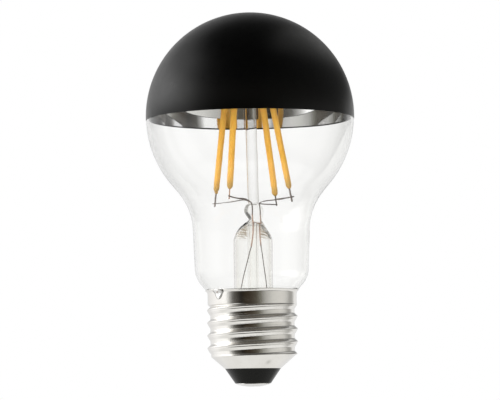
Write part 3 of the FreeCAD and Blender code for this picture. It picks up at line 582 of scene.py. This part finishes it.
def make_cap():
    """The cap's sheet: outside from the cone's foot to the rim, round its edge, and back inside."""
    angle = around(200)[None, :]

    def wall(steps, inset):
        """Radius and level of the rows of one side of the sheet, inset by its thickness along the slope."""
        level = np.concatenate([
            np.linspace(CONE_FOOT, 8.3, 12), np.linspace(THREAD_FOOT, COLLAR_FOOT, steps),
            np.linspace(23.8, 26.0, 6), np.linspace(26.1, RIM_TOP, 14)])[:, None]
        slope = (cap_radius(angle, level + 0.01) - cap_radius(angle, level - 0.01)) / 0.02
        radius = cap_radius(angle, level)
        radius = radius + ripple(angle * 2, level * 3, 3, 0.012) * (level > THREAD_FOOT)
        radius = radius - inset * np.sqrt(1 + np.minimum(slope ** 2, 2.1))
        rim_wave = 0.05 * np.sin(angle * 5 + 1.0) * smooth_step(level, 26.2, RIM_TOP)
        return radius, level + rim_wave

    def edge_rows(first, last, level, bow):
        """Rows from one side of the sheet to the other round its edge, bowed by a half sine."""
        return [ring_points(first * (1 - share) + last * share, angle,
                            level + bow * math.sin(math.pi * share)) for share in (0.2, 0.5, 0.8)]

    outer, outer_level = wall(270, 0)
    inner, inner_level = wall(110, CAP_SHEET)
    lip = edge_rows(outer[-1:], inner[-1:], outer_level[-1:], 0.09)
    foot = edge_rows(inner[:1], outer[:1], CONE_FOOT, -0.08)
    points = np.concatenate([ring_points(outer, angle, outer_level)] + lip
                            + [ring_points(inner, angle, inner_level)[::-1]] + foot)
    piece = grid_piece("screw_cap", points, NICKEL, ("cap_shell",), poles=None)
    # The mark attribute is painted shade in the punched dimple's hollow.
    mark_points(piece, "mark", lambda x, y, z: 0.85 * np.exp(-from_dimple(np.arctan2(y, x), z) ** 2))


def make_insulator():
    """The black insulator: a turned cone with soft edges and one small gate mark."""
    angle = around(160)[None, :]
    line = rounded_line([
        (1.9, 0.95, 0), (5.12, 0.9, 0.2), (7.85, 4.9, 0.1), (8.0, 5.1, 0.03), (7.64, 5.12, 0.03),
        (9.75, 7.0, 0.1), (6.2, 7.0, 0.1), (6.2, 4.2, 0.1), (1.9, 4.2, 0)], 0.2)
    radius, level = line[:, :1], line[:, 1:]
    outside = (radius > 5.1) & (level < 4.9)
    across = away_from(angle, -81.0) * 6.8
    mark = 0.11 * np.exp(-((across ** 2 + (level - 3.3) ** 2) / 0.03))
    points = ring_points(radius + mark * outside, angle, level)
    grid_piece("insulator_cone", points, INSULATOR, ("insulator",), poles=None)


def make_contact():
    """The centre contact: a shallow dome, flat in the middle, with a rolled edge and an eyelet, turned."""
    across = np.linspace(0, 4.65, 28)
    dome = np.stack([across, np.clip(across ** 2 - 2.25, 0, None) / 31.0], axis=-1)
    rest = rounded_line([(4.65, 0.625, 0), (4.88, 0.7, 0.06), (4.88, 0.9, 0.05), (1.9, 0.9, 0.02),
                         (1.9, 4.2, 0.02), (2.5, 4.2, 0.05), (2.5, 4.5, 0.05), (1.2, 4.5, 0.05),
                         (1.2, 0.4, 0.05), (0.0, 0.4, 0)], 0.2)
    angle = around(128)
    points = turned(np.concatenate([dome, rest[1:]]), angle)
    uneven = np.abs(ripple(angle * 2, points[..., 0], 8, 0.015))
    points[..., 2] += np.where(points[..., 2] < 0.7, uneven, 0)
    grid_piece("contact_disc", points, CONTACT, ("centre_contact",))


def make_solder_drop():
    """The drop of solder over the rim: a rounded triangle, wide at the rim, bulging from the collar."""
    widest = 2.15
    share = np.linspace(0, 1, 40)[:, None]
    turn = around(48)[None, :]
    level = 24.75 + 2.85 * share
    half = widest * np.sqrt(np.clip(1 - (1 - share) ** 1.4, 0, 1))
    half = half * np.sqrt(np.clip((1 - share) / 0.14, 0, 1))
    bulge = 0.26 * np.sqrt(np.clip(half / widest, 0, 1)) * np.sin(turn) * np.abs(np.sin(turn)) ** 1.4
    lumps = 0.05 * np.sin(5 * turn + 7 * share) * np.sin(np.pi * share)
    depth = np.where(bulge > 0, bulge + lumps * np.sin(turn), bulge * 0.5)

    def flare(height):
        """How far the drop follows the rim outwards."""
        return 0.75 * smooth_step(height, 26.4, 27.5)

    def drop_edge_shade(x, y, z):
        """Painted shade: full where the drop thins out to the cap."""
        return 1 - smooth_step(np.hypot(x, y) - COLLAR - flare(z), 0.05, 0.20)

    angle = math.radians(222) + half * np.cos(turn) / 13.0
    points = ring_points(COLLAR + 0.02 + flare(level) + depth, angle, level)
    piece = grid_piece("solder_drop", points, SOLDER, ("side_solder",))
    mark_points(piece, "drop_edge_shade", drop_edge_shade)


make_cap()
make_insulator()
make_contact()
make_solder_drop()


# Stem, rod and exhaust tube

def along_table(table, level):
    """Values between the rows of a table, by a smooth cubic through them."""
    rows = np.asarray(table, float)
    path = curve_through(rows, 400)
    order = np.argsort(path[:, 0])
    return [np.interp(level, path[order, 0], path[order, column]) for column in range(1, rows.shape[1])]


def make_stem():
    """The stem: outside of the flare, tube and pressed part up to a closed top, then its hollow back down.

    Each table gives level, half width, half depth and the two shifts of an oval. The flare's edge is drawn
    out to the bore of the neck, which lies to one side of the stem's own axis.
    """
    angle = around(128)[None, :]
    press = math.radians(53)
    bore = 10.28
    flare = rounded_line([(9.85, 21.17, 0), (5.6, 25.2, 7.0), (5.6, 42.2, 0)], 0.5)
    table = [(42.0, 5.6, 5.6, 0, 0), (43.7, 5.35, 4.8, 0, 0), (45.3, 4.9, 3.4, 0.05, 0),
             (46.7, 3.9, 2.0, 0.4, -0.15), (47.8, 2.55, 1.35, 0.75, -0.35), (48.7, 3.15, 1.55, 0.6, -0.25),
             (50.2, 3.95, 1.8, 0.35, -0.1), (51.5, 3.7, 1.6, 0.35, 0), (52.3, 2.7, 1.15, 0.35, 0)]
    hollow_table = [(42.0, 5.0, 5.0, 0, 0), (43.7, 4.6, 4.05, 0, 0), (45.2, 4.0, 2.5, 0.05, 0),
                    (46.4, 3.0, 1.0, 0.35, -0.15), (46.9, 2.1, 0.35, 0.45, -0.2)]

    def oval_rows(level, wide, deep, shift_x, shift_y):
        """Ovals, one a row, with their wide axis turned to the press angle."""
        spin = 1 / np.sqrt((np.cos(angle - press) / wide) ** 2 + (np.sin(angle - press) / deep) ** 2)
        return ring_points(spin, angle, level, (STEM_X + shift_x, shift_y))

    def flare_rows(line):
        """A turned line whose outer part is stretched to the bore, by a smooth step of the radius."""
        limit = np.sqrt(bore ** 2 - (STEM_X * np.sin(angle)) ** 2) - STEM_X * np.cos(angle)
        radius = line[:, :1]
        edge = line[:, 0].max()
        radius = radius + (limit - edge) * smooth_step(radius, 7.0, edge)
        return ring_points(radius, angle, line[:, 1:], (STEM_X, 0))

    def closed(rows, shrink, rise):
        """Rows that draw a table's last oval in to a point: their share of its size, and their rise."""
        level, wide, deep, shift_x, shift_y = rows[-1]
        return oval_rows(level + rise, wide * shrink + 1e-4, deep * shrink + 1e-4, shift_x, shift_y)

    levels = np.linspace(42.4, 52.3, 70)[:, None]
    hollow_levels = np.linspace(42.4, 46.9, 36)[:, None]
    closing = np.linspace(0, 1, 9)[1:, None]
    quarter = closing * np.pi / 2
    outside = np.concatenate([flare_rows(flare), oval_rows(levels, *along_table(table, levels)),
                              closed(table, np.cos(quarter), 0.2 * np.sin(quarter))])
    inside = np.concatenate([flare_rows(inwards(flare[::-1], 0.6)[::-1]),
                             oval_rows(hollow_levels, *along_table(hollow_table, hollow_levels)),
                             closed(hollow_table, np.sqrt(1 - closing ** 2), 0.1 * closing)])
    points = np.concatenate([outside[::-1], inside])

    def side_streaks(x, y, z):
        """Brownish streaks at both sides of the shoulder, along X."""
        streak = smooth_step(np.sin(7.0 * z + 2.2 * x + 1.5 * np.sin(1.7 * z - 2.0 * y)), 0.1, 0.8)
        tall = smooth_step(z, 41.8, 44.0) * (1 - smooth_step(z, 47.0, 48.2))
        return streak * tall * smooth_step(np.abs(x - 0.6), 1.3, 2.4)

    piece = grid_piece("glass_stem", points, STEM_GLASS, ("stem_flare",))
    mark_points(piece, "side_streaks", side_streaks)


def make_exhaust():
    """The exhaust tube: outside from its melted tip to the pressed part, then its bore back down."""
    turn = np.linspace(0, np.pi / 2, 9)

    def half_of(radius):
        """A tip's quarter round, then a straight run up."""
        tip = np.stack([radius * np.sin(turn), 17.05 - radius * np.cos(turn)], axis=-1)
        return np.concatenate([tip, np.stack([np.full(24, radius), np.linspace(18, 46.5, 24)], axis=-1)])

    line = np.concatenate([half_of(1.55), half_of(1.0)[::-1]])
    points = ring_points(line[:, :1], around(64), line[:, 1:], (STEM_X, 0))
    grid_piece("glass_exhaust", points, STEM_GLASS, ("exhaust_tube",), sharp=50)


def make_rod():
    """The glass rod: a leaning drawn bar, a little uneven, with a round foot and a button on top."""
    thick, button = 1.6, 2.3
    foot = np.array([0.7, 0, 51.9])
    head = np.array([0, 0, 91.2])
    along = unit(head - foot)
    length = np.linalg.norm(head - foot)
    turn = np.linspace(0, np.pi / 2, 8)
    ball = np.linspace(math.asin(thick / button), np.pi, 16)
    reach = np.concatenate([thick * (1 - np.cos(turn)), np.linspace(2.4, length - 2.2, 40),
                            length - button * np.cos(ball)])
    radius = np.concatenate([thick * np.sin(turn), np.full(40, thick), button * np.sin(ball)])
    radius = radius * (1 + 0.012 * np.sin(reach * 0.55 + 1) + 0.008 * np.sin(reach * 1.3))
    angle = around(64)[:, None]
    side = np.array([along[2], 0, -along[0]])
    other = np.array([0, 1.0, 0])
    circle = side * np.cos(angle) + other * np.sin(angle)
    points = foot + along * reach[:, None, None] + circle * np.maximum(radius, 0)[:, None, None]
    grid_piece("glass_rod", points, ROD_GLASS, ("centre_rod",))


make_stem()
make_exhaust()
make_rod()


# Filaments

# Angle, radius and level of a filament's foot; length of its tab, how far down the weld is, half width
FEET = {
    "back_left": (148.0, 12.0, 56.3, 4.1, 3.1, 0.27),
    "front_left": (241.5, 12.55, 56.05, 3.0, 2.2, 0.19),
    "back_right": (55.5, 12.65, 55.5, 3.0, 2.55, 0.27),
    "front_right": (329.8, 12.7, 56.3, 3.85, 2.45, 0.27),
}


def filament_line(name):
    """Foot and unit direction of a filament, which leans so that its head is on the ring of heads."""
    degrees, radius, level = FEET[name][:3]
    turn = math.radians(degrees)
    foot = np.array([radius * math.cos(turn), radius * math.sin(turn), level])
    ring = np.array([HEAD_RING * math.cos(turn) + HEAD_RING_X, HEAD_RING * math.sin(turn)])
    aside = ring - foot[:2]
    rise = math.sqrt(FILAMENT ** 2 - aside @ aside)
    return foot, np.array([*aside, rise]) / FILAMENT


def make_filament(name, seed):
    """A filament's body: a soft-cornered bar, tapering at its ends, lightly knobbled by its chips."""
    columns = 40
    foot, along = filament_line(name)
    turn = math.radians(FEET[name][0])
    wide_way = np.array([-math.sin(turn), math.cos(turn), 0])
    deep_way = np.cross(along, wide_way)
    reach = np.concatenate([np.linspace(0, 3.4, 30), np.linspace(3.6, 30.4, 110),
                            np.linspace(30.6, FILAMENT, 24)])
    places = [0, 0.12, 0.5, 1.0, 3.2, 17.0, 30.5, 33.2, 33.75, FILAMENT]
    half_wide = np.interp(reach, places, [0.3, 0.42, 0.64, 0.82, 0.87, 0.88, 0.88, 0.72, 0.55, 0.4])
    half_deep = np.interp(reach, places, [0.27, 0.38, 0.58, 0.74, 0.79, 0.81, 0.82, 0.68, 0.5, 0.37])
    knobs = 0.012 * np.cos(2 * np.pi * reach / 1.15)
    knobs = knobs * smooth_step(reach, 2, 4) * (1 - smooth_step(reach, 30, 32))
    angle = around(columns)[None, :]
    shape = soft_square(angle, 2.6)
    lumps = 1 + ripple(angle, reach[:, None] * 3, seed, 0.025)
    sideways = (half_wide + knobs)[:, None] * shape * np.cos(angle) * lumps
    deepways = (half_deep + knobs)[:, None] * shape * np.sin(angle) * lumps
    rows = (foot + along * reach[:, None, None]
            + wide_way * sideways[..., None] + deep_way * deepways[..., None])
    points = np.concatenate([pole(foot, columns), rows, pole(foot + along * FILAMENT, columns)])

    def end_share(*place):
        """Full at both ends, where the phosphor thins."""
        distance = (np.stack(place, axis=-1) - foot) @ along
        return 1 - smooth_step(distance, 0.2, 4.5) * (1 - smooth_step(distance, 31, FILAMENT))

    piece = grid_piece("phosphor_" + name, points, PHOSPHOR, ("filament_" + name,))
    mark_points(piece, "end_share", end_share)


for number, name in enumerate(FEET):
    make_filament(name, 20 + number)


# Wires and the tabs of the filaments' feet

SEALS = {"left": (0.25, -1.9, 49.3), "right": (2.25, 1.1, 49.3)}
ARM_STARTS = {"front_left": SEALS["left"], "front_right": SEALS["right"],
              "back_left": (-2.2, -0.9), "back_right": (2.9, 2.2)}
TAB_SIDE = 0.075                     # from a tab's middle to the side that its wire lies on
ARM_WELD, FORK_WELD = 0.2, 0.15      # from that side to the wire's axis


def weld_point(name, beside):
    """Where a wire lies on the side of a filament's tab, and the level way that it goes on beyond."""
    foot, along = filament_line(name)
    middle = foot - along * FEET[name][4]
    level = unit(np.append(middle[:2] - ARM_STARTS[name][:2], 0))
    return middle + np.array([-level[1], level[0], 0]) * (TAB_SIDE + beside), level


def make_wire(name, stands_for, points, radius, material, rows=70, beads=0.02):
    """A wire: a circle carried along a smooth path through its points, swelling in even beads."""
    length = np.linspace(0, 1, rows)
    thick = radius * (1 + 0.04 * np.sin(9 * length + len(name)) + beads * np.sin(185 * length))
    grid_piece(name, tube(curve_through(points, rows), thick), material, (stands_for,), sharp=60)


def make_tab(name):
    """A foot's tab: a flat soft-edged strip along the filament's line, nipped where its wire is welded."""
    columns = 24
    foot, along = filament_line(name)
    _, level = weld_point(name, ARM_WELD)
    broad = unit(level - along * (level @ along))
    flat = np.cross(along, broad)
    long, weld, half = FEET[name][3:]
    reach = np.linspace(-0.5, long, 60)
    angle = around(columns)[None, :]
    shape = soft_square(angle, 5)
    nip = np.exp(-((reach - weld) / 0.3) ** 2)
    end = np.sqrt(np.clip((long - reach) / 0.12, 0, 1))
    half_wide = (half + 0.03 * nip) * end + 1e-4
    half_thick = (0.125 - 0.02 * nip) * end + 1e-4
    points = (foot - along * reach[:, None, None]
              + broad * (half_wide[:, None] * shape * np.cos(angle))[..., None]
              + flat * (half_thick[:, None] * shape * np.sin(angle))[..., None])
    grid_piece("foot_strip_" + name, np.concatenate([pole(foot + along * 0.5, columns), points]),
               COPPER_TAB if name == "front_left" else TAB_METAL,
               ("foot_tab_" + name,), poles=(True, False), sharp=50)


def make_wires():
    """Arms, branches, seal wires and outer leads, each along points read off its run."""
    bends = {
        "left": [(0.23, -1.93, 51.9), (0.10, -2.13, 52.6), (-0.33, -2.8, 53.1), (-1.0, -3.9, 53.5),
                 (-2.05, -5.5, 53.66), (-3.8, -8.2, 53.6)],
        "right": [(2.22, 1.13, 52.0), (2.3, 1.05, 52.5), (2.55, 0.85, 52.87), (3.2, 0.35, 53.2),
                  (4.2, -0.45, 53.45), (6.0, -1.85, 53.53), (8.6, -3.95, 53.66)],
    }
    forks = {
        "left": [(0.2, -1.75, 52.65), (-0.4, -1.35, 53.15), (-1.2, -1.0, 53.6), (-2.2, -0.6, 53.8),
                 (-3.4, 0.4, 53.75), (-6.4, 3.1, 53.45)],
        "right": [(2.25, 1.2, 52.55), (2.7, 1.9, 52.62), (4.2, 4.7, 52.7), (5.9, 8.0, 52.85)],
    }
    sealed = {
        "left": [(0.38, -1.9, 47.6), (0.5, -1.9, 45.6), (0.38, -2.0, 43.2), (-0.05, -2.1, 40.0)],
        "right": [(2.38, 1.12, 47.0), (2.45, 1.15, 45.0), (2.5, 1.2, 43.0), (2.7, 1.2, 40.3)],
    }
    thin = {
        "left": [(-0.6, -2.15, 38.2), (-1.38, -2.2, 35.3), (-2.3, -2.4, 31.6), (-3.05, -2.6, 28.3),
                 (-3.9, -3.1, 23.6), (-4.4, -3.55, 19.0), (-4.4, -3.6, 14.0), (-4.4, -3.6, 9.22)],
        "right": [(3.05, 1.2, 38.2), (3.4, 1.15, 35.7), (3.85, 1.0, 32.0), (4.3, 0.8, 28.3),
                  (4.8, 0.2, 23.6), (5.2, -0.55, 19.0), (5.2, -0.6, 14.0), (5.2, -0.6, 9.22)],
    }

    def welded(foot, beside, rise):
        """The last points of a wire: its weld, and its end a little beyond and higher."""
        weld, level = weld_point(foot, beside)
        return [weld, weld + level * 0.75 + np.array([0, 0, rise])]

    for side, run in bends.items():
        points = [SEALS[side]] + run + welded("front_" + side, ARM_WELD, 0.12)
        make_wire("arm_wire_" + side, "lead_wire_" + side, points, 0.18, NICKEL_WIRE, 110)
    for side, run in forks.items():
        points = run + welded("back_" + side, FORK_WELD, 0.05)
        make_wire("fork_wire_" + side, "branch_wire_" + side, points, 0.165, NICKEL_WIRE, 90)
    for side, run in sealed.items():
        make_wire("sealed_wire_" + side, "seal_wire_" + side, [SEALS[side]] + run, 0.2,
                  COPPER_WIRE)
        make_wire("thin_lead_" + side, "outer_lead_" + side, run[-1:] + thin[side], 0.13,
                  NICKEL_WIRE, 190, 0.14)


for name in FEET:
    make_tab(name)
make_wires()


# Stage: white surroundings, pale floor, studio light and camera

def studio_world():
    """A studio by direction: a softbox on the left, a dark room in front, a grey card low on the right.

    Rays from the camera, and rays that have only passed through glass, see the plain white background.
    """
    stop_share, strength = 0.48, 5.0     # the share keeps a ramp's brightest stop under 1
    low_card, side_card, ceiling = (0.20, 0.20, 0.196), (0.13, 0.13, 0.127), (0.014, 0.014, 0.014)
    world = bpy.data.worlds.new("studio")
    bpy.context.scene.world = world
    world.use_nodes = True
    tree = world.node_tree
    light = tree.nodes["Background"]
    where = add_node(tree, "ShaderNodeTexCoord")
    parts = add_node(tree, "ShaderNodeSeparateXYZ", {0: where.outputs["Generated"]})
    x, y, z = (parts.outputs[axis] for axis in "XYZ")
    turn = maths(tree, "ARCTAN2", x, maths(tree, "MULTIPLY", y, -1.0))
    turn_share = spread(tree, turn, -math.pi, math.pi)
    rise = maths(tree, "ARCSINE", z)

    def ramp_of(*stops):
        """A ramp over the turn from -180 to 180 degrees, 0 being towards the camera.

        A stop is its degrees and one grey value, or red, green and blue.
        """
        node = add_node(tree, "ShaderNodeValToRGB", {"Fac": turn_share})
        ramp = node.color_ramp
        while len(ramp.elements) > 1:
            ramp.elements.remove(ramp.elements[-1])
        for number, (degrees, *colour) in enumerate(stops):
            place = (degrees + 180) / 360
            stop = ramp.elements[0] if number == 0 else ramp.elements.new(place)
            stop.position = place
            stop.color = (*(np.broadcast_to(colour, 3) * stop_share), 1)
        return node.outputs["Color"]

    def card_side(lift, low, full):
        """Share of a tilted card: from 0 to 1 as half of Y, plus Z times lift, goes from low to full."""
        leaned = maths(tree, "ADD", maths(tree, "MULTIPLY", y, 0.5), maths(tree, "MULTIPLY", z, lift))
        return spread(tree, leaned, low, full, "SMOOTHSTEP")

    level = ramp_of(
        (-180, 0.34), (-153, 0.39), (-110, 0.53), (-72, 0.54, 0.54, 0.53), (-62, 0.23, 0.228, 0.22),
        (-51, 0.060, 0.058, 0.053), (-40, 0.032, 0.029, 0.025), (-28, 0.007, 0.006, 0.005),
        (-18, 0.018, 0.014, 0.009), (-5, 0.022, 0.017, 0.012), (13, 0.045, 0.041, 0.032),
        (23, 0.10, 0.098, 0.084), (34, 0.20, 0.198, 0.187), (57, 0.31, 0.308, 0.292),
        (82, 0.345, 0.34, 0.325), (97, 0.31, 0.308, 0.295), (114, 0.17, 0.168, 0.16),
        (128, 0.20, 0.198, 0.19), (138, 0.42, 0.42, 0.415), (180, 0.34))
    raised = ramp_of(
        (-180, 0.26), (-160, 0.30), (-141, 0.50), (-120, 1.2), (-105, 1.9), (-79, 1.6, 1.6, 1.58),
        (-58, 0.42, 0.415, 0.40), (-38, 0.13, 0.125, 0.115), (0, 0.10, 0.095, 0.085),
        (60, 0.12, 0.115, 0.105), (110, 0.10, 0.10, 0.098), (130, 0.07, 0.07, 0.069),
        (150, 0.06, 0.06, 0.059), (171, 0.20), (180, 0.26))
    high = ramp_of(
        (-180, 0.12), (-140, 0.30), (-95, 0.90), (-62, 0.16, 0.16, 0.158), (-40, 0.04, 0.04, 0.038),
        (0, 0.035, 0.035, 0.033), (60, 0.07, 0.07, 0.068), (110, 0.08, 0.08, 0.078),
        (140, 0.04, 0.04, 0.039), (180, 0.12))
    below = ramp_of(
        (-180, 0.44, 0.44, 0.435), (-130, 0.50, 0.50, 0.495), (-94, 0.37, 0.37, 0.36),
        (-56, 0.12, 0.118, 0.11), (-18, 0.025, 0.023, 0.020), (30, 0.010, 0.009, 0.008),
        (86, 0.030, 0.029, 0.026), (104, 0.17, 0.168, 0.16), (124, 0.42, 0.42, 0.41),
        (145, 0.50, 0.50, 0.495), (180, 0.44, 0.44, 0.435))

    # From straight below upwards, each band over the one before between two heights in degrees
    seen_light = colour_mix(tree, card_side(-2.0, 1.28, 1.42), below, low_card)
    for start, full, band in ((-42, -28, level), (5, 14, raised), (22, 36, high), (40, 60, ceiling)):
        band_share = spread(tree, rise, math.radians(start), math.radians(full), "SMOOTHSTEP")
        seen_light = colour_mix(tree, band_share, seen_light, band)
    right = spread(tree, x, 0.22, 0.40, "SMOOTHSTEP")
    card = maths(tree, "MULTIPLY", right, card_side(1.0, 0.72, 0.90))
    seen_light = colour_mix(tree, card, seen_light, side_card)
    feed(tree, light, {"Color": seen_light, "Strength": strength})

    path = add_node(tree, "ShaderNodeLightPath")
    straight = maths(tree, "LESS_THAN", path.outputs["Glossy Depth"], 0.5)
    through = maths(tree, "MULTIPLY", path.outputs["Is Transmission Ray"], straight)
    seen = maths(tree, "MAXIMUM", path.outputs["Is Camera Ray"], through)
    plain = add_node(tree, "ShaderNodeBackground", {"Color": (1, 1, 1, 1), "Strength": 1.0})
    chosen = add_node(tree, "ShaderNodeMixShader", {0: seen, 1: light.outputs[0], 2: plain.outputs[0]})
    feed(tree, tree.nodes["World Output"], {"Surface": chosen.outputs[0]})


def pale_floor():
    """A round pale floor below the held bulb, which fades out far from it."""
    columns = 96
    level = -60.0
    line = np.array([(reach, level) for reach in (0, 60, 120, 250, 500, 900, 1500)])
    points = turned(line, around(columns)).reshape(-1, 3) * MM
    quads, triangles = skin(len(line), columns, (True, False))
    mesh = bpy.data.meshes.new("floor")
    mesh.from_pydata(points.tolist(), [], quads.tolist() + triangles.tolist())
    floor = new_object("floor", mesh)
    material, tree, shader = new_material("floor")
    where = add_node(tree, "ShaderNodeTexCoord")
    far = add_node(tree, "ShaderNodeVectorMath", {0: where.outputs["Object"]}, operation="LENGTH")
    fade = add_node(tree, "ShaderNodeMapRange", {
        "Value": far.outputs["Value"], "From Min": 0.35, "From Max": 1.3, "To Min": 1.0, "To Max": 0.0})
    feed(tree, shader, {
        "Base Color": (0.92, 0.92, 0.92, 1), "Roughness": 0.9, "Alpha": fade.outputs["Result"]})
    mesh.materials.append(material)
    floor.visible_glossy = False
    floor.visible_transmission = False


def soft_lamp(name, place, size, power):
    """A square soft lamp turned towards the bulb's middle; reflections don't show it."""
    middle = Vector((0, 0, 0.07))
    data = bpy.data.lights.new(name, "AREA")
    data.shape = "SQUARE"
    data.size = size
    data.energy = power
    lamp = new_object(name, data)
    lamp.location = place
    lamp.rotation_euler = (middle - Vector(place)).to_track_quat("-Z", "Y").to_euler()
    lamp.visible_glossy = False
    lamp.visible_camera = False
    lamp.visible_transmission = False


def make_camera():
    """The photograph's view: a long lens 800 mm away, just below the cap and looking up by 4.3 degrees."""
    data = bpy.data.cameras.new("camera")
    data.lens = 200.6
    data.sensor_width = 36.0
    data.clip_start = 0.05
    data.clip_end = 50
    camera = new_object("camera", data)
    camera.location = (-0.00028, -0.800, -0.0067)
    look = Matrix.Rotation(math.radians(90 + 4.31), 4, "X")
    roll = Matrix.Rotation(math.radians(-0.69), 4, "Z")
    camera.rotation_euler = (look @ roll).to_euler()
    bpy.context.scene.camera = camera


studio_world()
pale_floor()
soft_lamp("key", (-0.60, -0.42, 0.04), 0.5, 3.2)
soft_lamp("fill", (0.52, -0.48, 0.0), 0.4, 2.4)
soft_lamp("front", (-0.05, -0.74, -0.08), 0.4, 3.6)
make_camera()
bpy.context.scene.view_settings.view_transform = "Standard"
